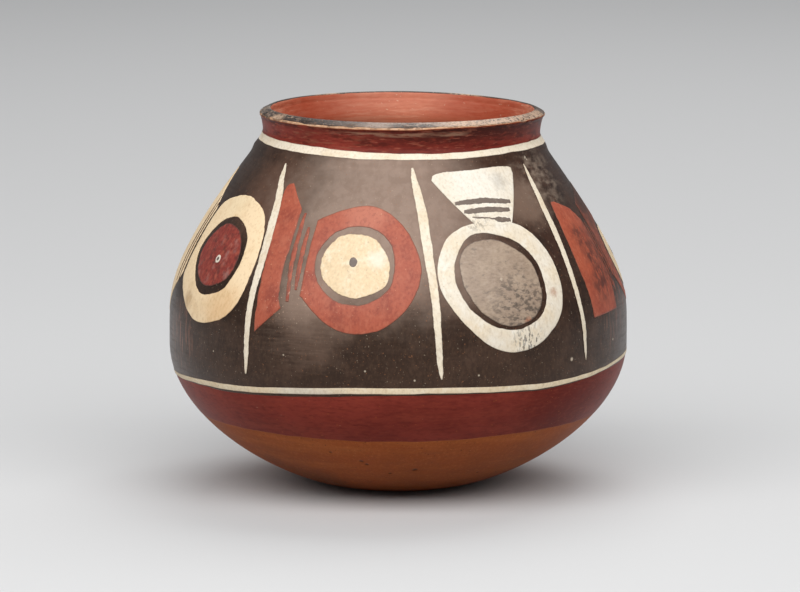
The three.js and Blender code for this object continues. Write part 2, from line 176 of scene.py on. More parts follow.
def shell(name, grid, closed, facing=None):
    """A closed mesh from a grid of points. The grid's first way closes on itself. Its second closes too, or
    ends in a point at both ends. Faces are turned round if the volume is negative. A fourth value of a
    point is its distance from the paint's edge."""
    around, along, values = grid.shape
    index = np.arange(around * along).reshape(around, along)
    side = np.roll(index, -1, 0)
    points = grid.reshape(-1, values)
    quads = np.stack([index, side, np.roll(side, -1, 1), np.roll(index, -1, 1)], -1)
    fans = np.zeros((0, 3), int)
    if not closed:
        quads = quads[:, :-1]
        start, end = np.full(around, len(points)), np.full(around, len(points) + 1)
        fans = np.vstack([
            np.stack([side[:, 0], index[:, 0], start], -1),
            np.stack([index[:, -1], side[:, -1], end], -1),
        ])
        points = np.vstack([points, grid[:, 0].mean(0), grid[:, -1].mean(0)])
    quads = quads.reshape(-1, 4)
    halves = np.vstack([quads[:, :3], quads[:, [0, 2, 3]], fans])
    a, b, c = (points[halves[:, k], :3] for k in range(3))
    if np.einsum("ij,ij", a, np.cross(b, c)) < 0:
        quads, fans = quads[:, ::-1], fans[:, ::-1]
    mesh = bpy.data.meshes.new(name)
    mesh.from_pydata(points[:, :3].tolist(), [], quads.tolist() + fans.tolist())
    mesh.shade_smooth()
    if values == 4:
        mesh.attributes.new("from_edge", "FLOAT", "POINT").data.foreach_set("value", points[:, 3])
    if facing is not None:
        normals = facing.reshape(-1, 3)
        if not closed:
            normals = np.vstack([normals, facing[:, 0].mean(0), facing[:, -1].mean(0)])
        mesh.normals_split_custom_set_from_vertices(normals.tolist())
    return mesh


def added(name, data):
    """A new object in the scene that holds a mesh, a lamp or a camera."""
    made = bpy.data.objects.new(name, data)
    bpy.context.scene.collection.objects.link(made)
    return made


def piece(node, grid, closed, finish, slot, facing=None, stands_for=True):
    """Adds one piece of the bowl under the name of its node, riding on the bowl's only body."""
    made = added(f"{node}_fired", shell(node, grid, closed, facing))
    made.data.materials.append(finish.material)
    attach(made, "root")
    if stands_for:
        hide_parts(node)


def skin(points):
    """The points of a turned face without its first and last rows, and the way each of them faces: square to
    the way round the bowl and to the way along the face."""
    round_way = np.roll(points, -1, 0) - np.roll(points, 1, 0)
    facing = np.cross(round_way, np.gradient(points, axis=1))[:, 1:-1]
    return points[:, 1:-1], facing / np.linalg.norm(facing, axis=2, keepdims=True)


def rows(low, high, pitch=ROW):
    """Slants from low to high no more than a pitch apart, with one more beyond each end."""
    count = max(2, int(np.ceil(abs(high - low) / pitch)))
    step = (high - low) / count
    return low + step * np.arange(-1, count + 2)


def member(node, up, down, closed):
    """A length of the clay wall: up its outer face and back down its inner face, at the slants given."""
    faces = skin(on_wall(AROUND, up, 0)), skin(in_wall(AROUND, down))
    points, facing = (np.concatenate(parts, 1) for parts in zip(*faces))
    piece(node, points, closed, clay, "clay", facing)


def spot(degrees, slant):
    """The place on the wall at an angle and a slant, in millimetres."""
    return tuple(on_wall(np.array(float(degrees)), slant, 0) / MM)


class Finish:
    """A fired finish, built up in washes: each lays a colour over the last ones, at a strength, where a
    pattern says. Patterns run from 0 to 1 and follow the place on the bowl in millimetres. Noise is told by
    its size, a shift that sets it apart, its detail, and factors under 1 that draw it out round the bowl
    (wide) or up it (tall)."""

    def __init__(self, name, colour, roughness):
        """A plain shader of one colour and roughness, and the place in millimetres for its patterns."""
        self.material = bpy.data.materials.new(name)
        self.material.use_nodes = True
        self.tree = self.material.node_tree
        self.shader = self.tree.nodes["Principled BSDF"].inputs
        self.shader["Roughness"].default_value = self.roughness = roughness
        self.shader["Base Color"].default_value = self.colour = self.mixed(colour)
        self.normal = None
        place = self.node("ShaderNodeTexCoord").outputs["Object"]
        self.place = self.node("ShaderNodeVectorMath", {0: place, 3: 1 / MM}, operation="SCALE").outputs[0]

    @staticmethod
    def mixed(colour):
        """A colour as light: each of its parts, written from 00 to ff, to the power that screens use."""
        parts = np.array([int(colour[i:i + 2], 16) for i in (1, 3, 5)]) / 255
        light = np.where(parts <= 0.04045, parts / 12.92, ((parts + 0.055) / 1.055) ** 2.4)
        return (*light.tolist(), 1)

    def node(self, kind, inputs=None, **settings):
        """A shader node with its settings. Each input is a constant or another node's output."""
        made = self.tree.nodes.new(kind)
        for key, value in settings.items():
            setattr(made, key, value)
        for key, value in (inputs or {}).items():
            if isinstance(value, bpy.types.NodeSocket):
                self.tree.links.new(value, made.inputs[key])
            else:
                made.inputs[key].default_value = value
        return made

    def sum(self, operation, *values):
        """One step of arithmetic on up to three values."""
        return self.node("ShaderNodeMath", dict(enumerate(values)), operation=operation).outputs[0]

    def both(self, one, other):
        """Two patterns multiplied."""
        return self.sum("MULTIPLY", one, other)

    def cloud(self, size, shift=0, detail=3, wide=1, tall=1):
        """Soft noise with shapes about a size across."""
        inputs = {0: self.place, 1: (wide, wide, tall), 2: (shift, shift, shift)}
        place = self.node("ShaderNodeVectorMath", inputs, operation="MULTIPLY_ADD").outputs[0]
        noise = {"Vector": place, "Scale": 1 / size, "Detail": detail, "Roughness": 0.6}
        return self.node("ShaderNodeTexNoise", noise).outputs[0]

    def streaks(self, size, shift=0, detail=3):
        """Noise drawn out along the way that a burnishing pebble went round the bowl."""
        return self.cloud(size, shift, detail, 0.1)

    def level(self, value, low, high):
        """A soft step of a pattern from 0 at low to 1 at high."""
        inputs = {"Value": value, "From Min": low, "From Max": high}
        return self.node("ShaderNodeMapRange", inputs, interpolation_type="SMOOTHSTEP").outputs[0]

    def blotches(self, low, high, *noise):
        """A cloud with a soft step from low to high."""
        return self.level(self.cloud(*noise), low, high)

    def stripes(self, low, high, *noise):
        """Streaks with a soft step from low to high."""
        return self.level(self.streaks(*noise), low, high)

    def near(self, place, reach, ragged, grain=3):
        """1 at an angle and slant, falling to 0 at a reach from it, with an edge that noise makes ragged."""
        ends = {0: self.place, 1: spot(*place)}
        away = self.node("ShaderNodeVectorMath", ends, operation="DISTANCE").outputs[1]
        noise = self.sum("MULTIPLY_ADD", self.cloud(grain, 0, 4), ragged * reach, -0.5 * ragged * reach)
        return self.level(self.sum("ADD", away, noise), reach, 0.25 * reach)

    def height(self, low, high):
        """0 below a height on the bowl and 1 above another."""
        return self.level(self.node("ShaderNodeSeparateXYZ", {0: self.place}).outputs[2], low, high)

    def wash(self, colour, strength, where):
        """Lays a colour over the last ones where a pattern says."""
        inputs = {"Fac": self.both(where, strength), "Color1": self.colour, "Color2": self.mixed(colour)}
        self.colour = self.node("ShaderNodeMixRGB", inputs).outputs[0]
        self.tree.links.new(self.colour, self.shader["Base Color"])

    def mottle(self, colour, strength, low, high, *noise):
        """A wash in blotches."""
        self.wash(colour, strength, self.blotches(low, high, *noise))

    def streak(self, colour, strength, low, high, *noise):
        """A wash in stripes."""
        self.wash(colour, strength, self.stripes(low, high, *noise))

    def patch(self, colour, strength, place, reach, ragged, grain=3, over=None):
        """A wash near a place, and only where another pattern is, if one is given."""
        where = self.near(place, reach, ragged, grain)
        self.wash(colour, strength, self.both(where, over) if over else where)

    def grain(self, light, dark, size, strength, wide=1, tall=0.6):
        """Fine mottling: a lighter colour where fine noise is high and a darker one where it is low."""
        specks = self.cloud(size, 71, 6, wide, tall)
        self.wash(light, strength, self.level(specks, 0.48, 0.72))
        self.wash(dark, strength, self.level(specks, 0.52, 0.28))

    def thin_edge(self, colour, width, strength):
        """Lets the ground show through where the paint thins, up to a width from its edge, unevenly."""
        away = self.node("ShaderNodeAttribute", attribute_name="from_edge").outputs["Fac"]
        uneven = self.sum("MULTIPLY_ADD", self.cloud(1.3, 83, 5), 1.6 * width, -0.8 * width)
        self.wash(colour, strength, self.level(self.sum("ADD", away, uneven), width, 0))

    def shine(self, amount, tint="#ffffff"):
        """How strongly it mirrors light that falls on it squarely, and the tint of that light."""
        self.shader["Specular IOR Level"].default_value = amount
        self.shader["Specular Tint"].default_value = self.mixed(tint)

    def gloss(self, roughness, where):
        """Changes the roughness where a pattern says."""
        change = self.sum("SUBTRACT", roughness, self.roughness)
        self.roughness = self.sum("MULTIPLY_ADD", where, change, self.roughness)
        self.tree.links.new(self.roughness, self.shader["Roughness"])

    def relief(self, value, depth):
        """Raises the surface by a depth in millimetres times a pattern."""
        inputs = {"Height": value, "Distance": depth * MM}
        if self.normal:
            inputs["Normal"] = self.normal
        self.normal = self.node("ShaderNodeBump", inputs).outputs[0]
        self.tree.links.new(self.normal, self.shader["Normal"])


# Orange brown with burnishing streaks, darker clouds from the fire, fine temper and a few pits
clay = Finish("burnished bare clay", "#a04f23", 0.5)
clay.mottle("#84441f", 0.6, 0.4, 0.75, 34, 7)
clay.streak("#bd6c33", 0.5, 0.45, 0.75, 5, 3)
clay.streak("#8a4c2b", 0.4, 0.5, 0.75, 1.6, 11)
clay.patch("#5d3622", 0.5, (-38, 22), 16, 0.9, 8)
clay.patch("#4f3020", 0.35, (-52, 34), 9, 0.9, 5)
clay.mottle("#c07a45", 0.5, 0.68, 0.74, 0.8, 5, 1)
clay.mottle("#3d2417", 0.7, 0.7, 0.76, 0.9, 19, 1)
pits = [(-12, 42, 1.1), (-10.5, 40, 0.9), (-3, 33, 0.9), (6, 36, 1.3), (-21, 47, 0.8), (33, 30, 0.8)]
for degrees, slant, reach in pits:
    hole = clay.near((degrees, slant), reach, 0.6, 0.7)
    clay.wash("#2e1c12", 0.8, hole)
    clay.relief(hole, -0.25)
clay.grain("#c0713a", "#8c4a22", 1.1, 0.35)
clay.shine(0.12)
clay.relief(clay.streaks(1.4, 0, 4), 0.03)
clay.relief(clay.cloud(6, 0, 4), 0.12)

middle = [-FOOT_RADIUS, 0.3 - FOOT_RADIUS]
dish_up = np.concatenate([middle, rows(FOOT_START, DISH_WALL)[1:]])
dish_down = np.concatenate([rows(DISH_WALL + SEAM_BEVEL, FOOT_START)[:-1], middle[::-1]])
member("base_dish", dish_up, dish_down, False)
members = [(f"wall_coil_{coil + 1}", ROW) for coil in range(WALL_COILS)] + [("neck_collar", 0.5)]
seams = [*np.linspace(DISH_WALL, COLLAR_SLANT, WALL_COILS + 1), LIP_COIL_SLANT]
for (node, pitch), low, high in zip(members, seams, seams[1:]):
    member(node, rows(low, high, pitch), rows(high + SEAM_BEVEL, low + SEAM_BEVEL, pitch), True)

# The lip: the last thin coil, rounded over with wet fingers, and the dark coat brushed along it.
# Handling has rubbed the coat through to pale clay along the outer edge, most of all at the right,
# and has knocked out a few small chips.
LIP_TOP = [
    (49.25, 126.5), (49.3, 126.9), (49, 127.35), (48.1, 127.85), (47, 128.4), (46.2, 128.7),
    (45.75, 128.45), (45.4, 127.6), (45.2, 126.3),
]
LIP_CHIPS = [
    (-43, 0.5, 1.6), (-21, 0.45, 1.3), (2, 0.3, 1.5), (31, 0.35, 1.2), (58, 0.7, 1.8), (64, 0.4, 1.0),
    (-74, 0.5, 1.2), (-88, 0.6, 1.5), (120, 0.6, 1.6), (171, 0.4, 2.2), (228, 0.5, 1.4), (263, 0.45, 1.2),
]
MOUTH_START = 156
MOUTH_STEP = 0.5
LIP_STEPS = 60
LIP_EDGE = 166.4
INNER_SLIP_START = 134.6
COAT_RIM, RIM_STEP, RIM_LIFT = 0.25, 0.3, 0.7


def through(points, count, closed=False):
    """Evenly spaced places on a curve through points. Between two points it is the cubic whose ends lean
    along the lines between their neighbours."""
    points = np.array(points, float)
    if closed:
        held = points[np.arange(-1, len(points) + 2) % len(points)]
    else:
        held = np.vstack([2 * points[0] - points[1], points, 2 * points[-1] - points[-2]])
    a, b, c, d = (held[k:len(held) - 3 + k, None] for k in range(4))
    t = np.linspace(0, 1, 32, endpoint=False)[:, None]
    square, cube = 2 * a - 5 * b + 4 * c - d, 3 * b - a - 3 * c + d
    curve = (2 * b + (c - a) * t + square * t ** 2 + cube * t ** 3) / 2
    curve = np.vstack([curve.reshape(-1, 2), points[:1] if closed else points[-1:]])
    run = run_length(curve)
    even = np.linspace(0, run[-1], count, endpoint=not closed)
    return np.stack([np.interp(even, run, curve[:, k]) for k in range(2)], -1)


def mouth_section():
    """Radius and height up the outer face of the collar, over the lip and down to the inner slip's low edge,
    with the slant of each place."""
    up = np.arange(MOUTH_START, LIP_SLANT, MOUTH_STEP)
    down = np.arange(LIP_COIL_SLANT + SEAM_BEVEL + 0.3, INNER_SLIP_START - 4, -MOUTH_STEP)
    faces = [section(up, CLAY_SWELL), through(LIP_TOP, LIP_STEPS).T, section(down, -thickness(down))]
    slants = [up, np.full(LIP_STEPS, LIP_SLANT), down]
    return np.hstack(faces).T, np.concatenate(slants)


MOUTH, MOUTH_SLANT = mouth_section()
MOUTH_RUN = run_length(MOUTH)
MOUTH_ALONG = np.gradient(MOUTH, MOUTH_RUN, axis=0)
OUTER_SEAM = LIP_COIL_SLANT - MOUTH_START
INNER_SEAM = MOUTH_RUN[np.argmax(MOUTH_SLANT == LIP_SLANT) + LIP_STEPS] + 0.3
ARRIS, CHIP_HEIGHT = 11.15, 0.9
COAT_START, COAT_END = 11.2, ARRIS + 3.9


def on_mouth(angle, along, out):
    """Places a length along the mouth's section, at a distance out from it. A chip is a shallow hollow in the
    outer edge: its depth times a bell curve around the bowl and another along the section."""
    for degrees, deep, wide in LIP_CHIPS:
        away = ((angle - degrees + 180) % 360 - 180) * COLLAR_RADIUS * np.pi / 180
        out = out - deep * np.exp(-((away / wide) ** 2) - ((along - ARRIS) / CHIP_HEIGHT) ** 2)
    return turned(angle, *beside(along, MOUTH_RUN, MOUTH, MOUTH_ALONG, out))


def coat(place, near, far, under, over, closed=True, pitch=ROW):
    """A thin coat between two edges, given as rows of matching places. Its section goes over the top from
    edge to edge, with rims rounded off, and back below."""
    span = np.abs(far - near)[:, 1].mean() + np.abs(far - near)[:, 0].mean() * (not closed)
    count = max(2, int(np.ceil(span / pitch)))
    inset = min(COAT_RIM / span, 0.25)
    share = np.concatenate([
        [0, RIM_STEP * inset], np.linspace(inset, 1 - inset, count + 1), [1 - RIM_STEP * inset, 1],
        np.linspace(1, 0, count + 2)[1:-1],
    ])
    lift = np.concatenate([[0, RIM_LIFT], np.ones(count + 1), [RIM_LIFT, 0], np.zeros(count)])
    line = near + (far - near) * share[:, None, None]
    made = place(line[..., 0], line[..., 1], under + (over - under) * lift[:, None])
    width = np.linalg.norm(made[share.argmax()] - made[0], axis=-1) / MM
    return np.concatenate([made, (np.minimum(share, 1 - share)[:, None] * width)[..., None]], -1)


def tremor(count, size, seed):
    """The unevenness of a brushed edge, in millimetres: waves of 2 to 59 to the line, the short ones weaker,
    added up and brought to a size."""
    chance = np.random.default_rng(seed)
    waves = np.arange(2, 60)
    phase = chance.uniform(0, 2 * np.pi, waves.size)
    strength = chance.normal(size=waves.size) / waves ** 0.7
    turn = np.linspace(0, 2 * np.pi, count, endpoint=False)[:, None]
    shift = (strength * np.cos(turn * waves + phase)).sum(1)
    return shift * size / np.abs(shift).max()


def brushed_round(slant, size, seed):
    """An edge all the way round the bowl at a slant, one for all or one for each column, with a tremor."""
    return np.stack([AROUND[:, 0], slant + tremor(COLUMNS, size, seed)], -1)


def band(node, place, low, high, layer, finish, slot, pitch=ROW):
    """A coat all the way round the bowl. Each edge is told by its slant, its tremor's size and its seed, and
    the layer by how far off the clay it starts and ends."""
    edges = brushed_round(*low), brushed_round(*high)
    piece(node, coat(place, *edges, *layer, pitch=pitch), True, finish, slot)


# Rubbed, unslipped clay: pale buff with grey grime in its pores
lip_clay = Finish("rubbed lip clay", "#c79a76", 0.7)
lip_clay.mottle("#ddb899", 0.7, 0.45, 0.7, 2.2, 5)
lip_clay.mottle("#7c5a48", 0.7, 0.56, 0.7, 1.3, 9)
grime = lip_clay.blotches(0.4, 0.54, 1.6, 29, 6, 0.6)
lip_clay.patch("#3d2a21", 0.85, (-84, 165), 38, 0.8, 6, grime)
lip_clay.patch("#6a4a38", 0.6, (20, 165), 60, 0.8, 6, lip_clay.blotches(0.5, 0.6, 1.1, 13, 6, 0.4))
lip_clay.relief(lip_clay.cloud(0.9, 0, 4), 0.15)

# Grey black, lighter at the front with painted sheen over worn coat, greyer where it is rubbed,
# and worn to buff clay at the right and in small patches
lip_coat = Finish("worn dark lip coat", "#382c26", 0.36)
lip_coat.streak("#5f5149", 0.7, 0.42, 0.62, 2.2, 4)
# Painted sheen on the front of the lip, over worn grey coat
lip_coat.patch("#9d897b", 0.85, (6, LIP_EDGE), 30, 0.8, 5)
scuffs = lip_coat.blotches(0.5, 0.6, 0.9, 14, 5)
lip_coat.patch("#a79c90", 0.8, (-84, LIP_EDGE), 20, 0.8, over=scuffs)
lip_coat.streak("#2a2320", 0.7, 0.52, 0.64, 1.0, 8, 5)
lip_coat.patch("#191310", 0.8, (4, LIP_EDGE), 12, 0.9, 3, lip_coat.stripes(0.46, 0.56, 0.7, 71, 5))
lip_coat.patch("#1c1613", 0.7, (-62, LIP_EDGE), 27, 0.9, 4, lip_coat.blotches(0.4, 0.52, 1.6, 47, 6))
worn = lip_coat.blotches(0.38, 0.5, 0.8, 2, 6, 0.7)
for degrees, reach in [(26, 12), (42, 13), (58, 14), (74, 11), (-62, 5), (150, 12), (215, 9)]:
    lip_coat.patch("#c0a085", 0.9, (degrees, LIP_EDGE), reach, 0.7, over=worn)
lip_coat.mottle("#6d4c37", 0.6, 0.52, 0.62, 0.8, 44, 5)
chipped = lip_coat.blotches(0.53, 0.6, 1.0, 57, 6, 0.5)
lip_coat.patch("#b89c82", 0.75, (-72, LIP_EDGE), 28, 0.8, 4, chipped)
lip_coat.mottle("#cdb094", 0.55, 0.6, 0.68, 0.7, 31, 5)
lip_coat.shine(0.4)
lip_coat.relief(lip_coat.cloud(0.8, 0, 4), 0.12)

points, facing = skin(on_mouth(AROUND, rows(OUTER_SEAM, INNER_SEAM, 0.3), 0))
piece("lip_coil", points, True, lip_clay, "clay", facing)
band("lip_dark_coat", on_mouth, (COAT_START, 0.3, 41), (COAT_END, 0.2, 42), (0.03, 0.09),
     lip_coat, "lip_coat", 0.3)

# The slips: maroon round the lower wall and the collar, dark over the middle as the ground for the
# marks, and a red-orange wash inside the mouth. Each is a thin creamy clay, brushed on round the
# bowl and burnished before firing, so it keeps streaks, rubbed places and flecks.
EQUATOR = [
    (-90, 70), (-80, 70.8), (-70, 71.5), (-60, 72.3), (-50, 72.5), (-40, 73), (-30, 73.9), (-20, 74.7),
    (-10, 75.4), (0, 75.4), (10, 75.4), (20, 75.1), (30, 74.6), (40, 74.4), (50, 75), (60, 75.9),
    (70, 77), (80, 77.4), (110, 77), (150, 75.8), (180, 75), (210, 74), (240, 72.4), (258, 70.6),
]
NECK_LINE = [
    (-82, 158.9), (-50, 158.2), (-35, 157.8), (-20, 157.25), (-10, 157.05), (15, 156.8), (30, 156.95),
    (50, 157.5), (80, 157.6), (130, 157.3), (190, 157.8), (240, 158.8),
]
RED_START = [
    (-60, 54.8), (-40, 54.8), (-20, 54.4), (0, 54.2), (20, 54.8), (40, 55.4), (60, 55.3), (100, 54.6),
    (150, 55.2), (200, 54.4), (250, 55),
]
MAROON_SHOWS = [
    (-70, 0.1), (-48, 0.7), (-20, 0.9), (0, 0.5), (12, 0.35), (40, 0.3), (62, 0.2), (140, 0.4), (220, 0.1),
]
LINE_HALF = 1.0
COLLAR_SLIP_END = [(-90, 10.5), (-30, 10.4), (5, 10.5), (16, 10.9), (60, 11.1), (85, 10.9), (180, 10.6)]


def round_bowl(places):
    """One value for each column, from pairs of degrees and value: straight between them, then evened out
    over nine columns."""
    degrees, values = np.array(places, float).T
    line = np.interp(AROUND[:, 0], degrees % 360, values, period=360)
    return sum(np.roll(line, step) for step in range(-4, 5)) / 9


# Deep maroon, streaked round the bowl, rubbed to orange in flecks and hazed with lime, and darkened by
# painted shadow under the lip
maroon = Finish("burnished maroon slip", "#85352a", 0.42)
maroon.mottle("#64211a", 0.6, 0.42, 0.7, 26, 13)
maroon.streak("#8d3e2f", 0.55, 0.46, 0.72, 4, 6)
maroon.streak("#551b14", 0.5, 0.55, 0.75, 1.5, 16)
maroon.patch("#5c150a", 0.8, (50, 69), 34, 0.8, 9)
maroon.mottle("#a4562f", 0.6, 0.68, 0.74, 0.9, 23, 2, 0.6)
maroon.mottle("#bd9a80", 0.5, 0.73, 0.79, 0.7, 37, 2, 0.35)
# Painted shadow: a dark blotchy band just under the lip's edge, all round the collar
rubbed = maroon.both(maroon.height(124.4, 125.8), maroon.blotches(0.36, 0.56, 3, 51, 4, 0.4))
maroon.wash("#351812", 0.7, rubbed)
maroon.patch("#571b15", 0.6, (16, 162), 42, 0.7, 9)
# Painted shadow under the lip, deeper and wider at the right
maroon.patch("#27120d", 0.72, (38, 165), 50, 0.8, 6, maroon.height(120.5, 124.5))
scuffs = maroon.blotches(0.5, 0.62, 1.5, 71, 6, 0.2)
maroon.wash("#3a1610", 0.6, maroon.both(maroon.height(116, 117.5), scuffs))
scratches = maroon.blotches(0.56, 0.66, 0.8, 83, 6, 0.16)
maroon.wash("#a4614c", 0.45, maroon.both(maroon.height(117, 120), scratches))
rim_side = maroon.both(maroon.height(123.7, 124.4), maroon.height(125.8, 125.2))
for degrees, reach in [(-16, 14), (4, 16), (20, 11)]:
    worn = maroon.stripes(0.42, 0.58, 0.9, degrees, 5)
    maroon.patch("#94705b", 0.75, (degrees, 165), reach, 0.8, 4, maroon.both(rim_side, worn))
maroon.patch("#8a5b44", 0.5, (-30, 162.6), 18, 0.9, 4, maroon.stripes(0.5, 0.68, 1.0, 2, 5))
maroon.grain("#8c3b2a", "#561a13", 0.8, 0.45, 0.3, 1)
maroon.thin_edge("#9a4c2a", 0.5, 0.7)
maroon.shine(0.1)
maroon.relief(maroon.streaks(0.9, 0, 5), 0.03)
maroon.relief(maroon.cloud(5, 0, 4), 0.1)

# Brown black, browner at the right, with pale and orange flecks, and painted sheen over the upper front,
# both shoulders and a rubbed patch low at the left front
dark = Finish("burnished dark slip", "#271a13", 0.34)
dark.mottle("#3f2e24", 0.5, 0.42, 0.7, 28, 9)
dark.mottle("#4c392e", 0.5, 0.48, 0.68, 12, 27, 5)
dark.patch("#472b20", 0.5, (38, 140), 62, 0.7, 14)
dark.mottle("#1a100c", 0.65, 0.46, 0.64, 10, 3, 5)
dark.streak("#4b3a31", 0.3, 0.54, 0.74, 3.0, 12, 5)
dark.grain("#4a382b", "#150e0b", 1.0, 0.5)
# Painted sheen on the left shoulder
dark.patch("#6b4d3e", 0.5, (-47, 141), 24, 0.8, 9)
# Horizontal streaks for painted sheen, on the rubbed patch and over the upper front
rubbed = dark.stripes(0.4, 0.64, 0.9, 7, 6)
# Painted sheen on a rubbed patch low at the left front, in soft patches and horizontal streaks
dark.patch("#7f685a", 0.32, (-22, 97), 19, 0.7, 9)
dark.patch("#8a7364", 0.16, (-25, 95), 21, 0.8, 7, rubbed)
# Painted sheen: a broad lighter wash over the upper front
dark.patch("#a08c7e", 0.68, (-6, 135), 50, 0.75, 12)
# More painted sheen on the rubbed patch at the left front
dark.patch("#9d8778", 0.42, (-25, 104), 14, 0.9, 7)
# Darker blotches that break up the painted sheen over the upper front
sheen_blotches = dark.blotches(0.42, 0.62, 3.5, 61, 6, 1, 0.6)
dark.patch("#5d493c", 0.28, (-6, 135), 56, 0.7, 9, sheen_blotches)
# Painted sheen on the right shoulder
dark.patch("#8a7262", 0.6, (46, 138), 14, 0.9, 5)
# Painted sheen in horizontal streaks over the upper front
dark.patch("#7c695c", 0.15, (-4, 132), 52, 0.7, 9, rubbed)
flecks = dark.blotches(0.67, 0.74, 0.6, 35, 1)
dark.patch("#c9a88f", 0.6, (-28, 104), 13, 0.9, 4, flecks)
uprights = dark.blotches(0.5, 0.64, 1.3, 5, 4, 1, 0.12)
dark.patch("#93614d", 0.6, (-70, 86), 15, 0.9, over=uprights)
dark.patch("#8a4735", 0.9, (76, 108), 26, 0.6, 5, uprights)
dark.patch("#6d4636", 0.5, (66, 92), 16, 0.9, over=uprights)
# Pale scuffs on the right shoulder, partly painted sheen
scuffs = dark.blotches(0.42, 0.66, 2.4, 28, 6, 0.5)
dark.patch("#8d7b6b", 0.7, (60, 146), 17, 0.8, 5, scuffs)
dark.mottle("#93603f", 0.6, 0.7, 0.77, 0.6, 21, 1)
dark.mottle("#b5a48e", 0.6, 0.72, 0.78, 0.55, 33, 1)
chips = [
    (47.8, 82, 0.9), (57, 153.5, 0.75), (57.8, 152.6, 0.5), (-8, 82, 0.5), (4, 79, 0.5), (20, 80, 0.5),
    (-52, 84, 0.45), (68, 85, 0.6), (-29, 86, 0.45),
]
for degrees, slant, reach in chips:
    dark.patch("#cbbca6", 0.85, (degrees, slant), reach, 0.7, 0.6)
dark.shine(0.5, "#ffd9c4")
dark.gloss(0.36, dark.blotches(0.45, 0.7, 12, 2, 4))
dark.gloss(0.4, dark.stripes(0.45, 0.65, 0.9, 6, 5))
dark.relief(dark.streaks(1.0, 0, 5), 0.02)
dark.relief(dark.cloud(0.9, 0, 5), 0.02)
dark.relief(dark.cloud(6, 0, 4), 0.12)

# Red orange wash, wiped round in streaks and lighter where it is thin. Painted sheen lightens the far middle,
# painted shade darkens both sides, and painted light brightens it low inside, where the near lip's shade
# falls
inner = Finish("matte inner slip", "#c3674a", 0.55)
inner.streak("#cf8465", 0.6, 0.45, 0.7, 3.2, 5, 5)
inner.streak("#a5472f", 0.6, 0.52, 0.72, 2, 15, 4)
inner.mottle("#d99b7c", 0.4, 0.5, 0.72, 14, 8)
inner.streak("#e3a386", 0.6, 0.5, 0.66, 1.3, 33, 6)
inner.streak("#a8492f", 0.5, 0.52, 0.68, 1.1, 52, 6)
inner.grain("#d99070", "#93422b", 0.9, 0.45, 0.3, 1)
inner.mottle("#ecd3b4", 0.75, 0.67, 0.73, 0.8, 27, 2, 0.5)
inner.patch("#e3b192", 0.7, (-160, 158), 17, 0.9, 4, inner.stripes(0.44, 0.62, 1.2, 41, 6))
# Painted shade at both sides of the inside, and painted sheen in the far middle
for degrees in (142, -142):
    inner.patch("#a03c1f", 0.72, (degrees, 160), 34, 0.6, 9)
inner.patch("#d2876a", 0.4, (184, 158), 34, 0.8, 9)
# Painted light low inside the mouth, over the shade of the near lip
inner.wash("#e08c66", 0.8, inner.height(121, 113))
inner.shine(0.35)
inner.relief(inner.streaks(1.0, 0, 5), 0.06)

equator, neck_line = round_bowl(EQUATOR), round_bowl(NECK_LINE)
dark_start = equator - LINE_HALF - round_bowl(MAROON_SHOWS)
collar_start = neck_line + 0.3 - MOUTH_START
inner_end = np.interp(INNER_SLIP_START, MOUTH_SLANT[::-1], MOUTH_RUN[::-1])
band("lower_red_slip", on_wall, (round_bowl(RED_START), 0.35, 1), (equator, 0.1, 2), (0.02, 0.06),
     maroon, "maroon_slip")
band("dark_ground_slip", on_wall, (dark_start, 0.35, 3), (neck_line, 0.1, 4), (0.08, 0.13),
     dark, "dark_slip")
band("collar_red_slip", on_mouth, (collar_start, 0.1, 5), (round_bowl(COLLAR_SLIP_END), 0.15, 6),
     (0.02, 0.06), maroon, "maroon_slip", 0.5)
band("inner_rim_slip", on_mouth, (COAT_END - 0.4, 0.1, 7), (inner_end, 1.6, 8), (0.01, 0.06),
     inner, "inner_slip", 0.35)

# The two lines: cream slip paint, drawn round the bowl with a fine brush while it was turned by hand.
# They thin out and thicken with the load of the brush, and are rubbed grey in places.
PAINT = (0.17, 0.25)
EQUATOR_HALF = [(-80, 0.8), (-50, 1.0), (-20, 1.0), (0, 0.95), (40, 1.0), (70, 0.75), (120, 0.9), (200, 1.05)]
NECK_HALF = [(-80, 1.3), (-60, 1.35), (-30, 1.25), (0, 1.3), (40, 1.3), (80, 1.35), (180, 1.2), (240, 1.1)]


def cream_finish(name, colour):
    """Cream, warmer in clouds, rubbed through to the dark ground in specks and short streaks."""
    made = Finish(name, colour, 0.55)
    made.mottle("#d9bf97", 0.45, 0.42, 0.68, 9, 4, 4)
    made.patch("#cfc7bb", 0.6, (-24, 74), 17, 0.9, 5)
    made.mottle("#f3e8cf", 0.5, 0.52, 0.7, 4, 14)
    made.mottle("#6a5a4d", 0.45, 0.63, 0.71, 0.9, 25, 5)
    made.grain("#f5ead6", "#b39a7c", 0.9, 0.35)
    made.thin_edge("#8a7562", 0.25, 0.6)
    made.shine(0.4)
    made.relief(made.cloud(0.9, 0, 5), 0.06)
    return made


cream_paint = cream_finish("cream paint", "#e9d6b6")
pale_paint = cream_finish("pale line paint", "#efe2cc")
for node, middle, half, seed, finish in [
    ("equator_line", equator, round_bowl(EQUATOR_HALF), 11, cream_paint),
    ("neck_line", neck_line, round_bowl(NECK_HALF), 13, pale_paint),
]:
    edges = (middle - half, 0.28, seed), (middle + half, 0.28, seed + 1)
    band(node, on_wall, *edges, PAINT, finish, "cream_paint", 0.6)

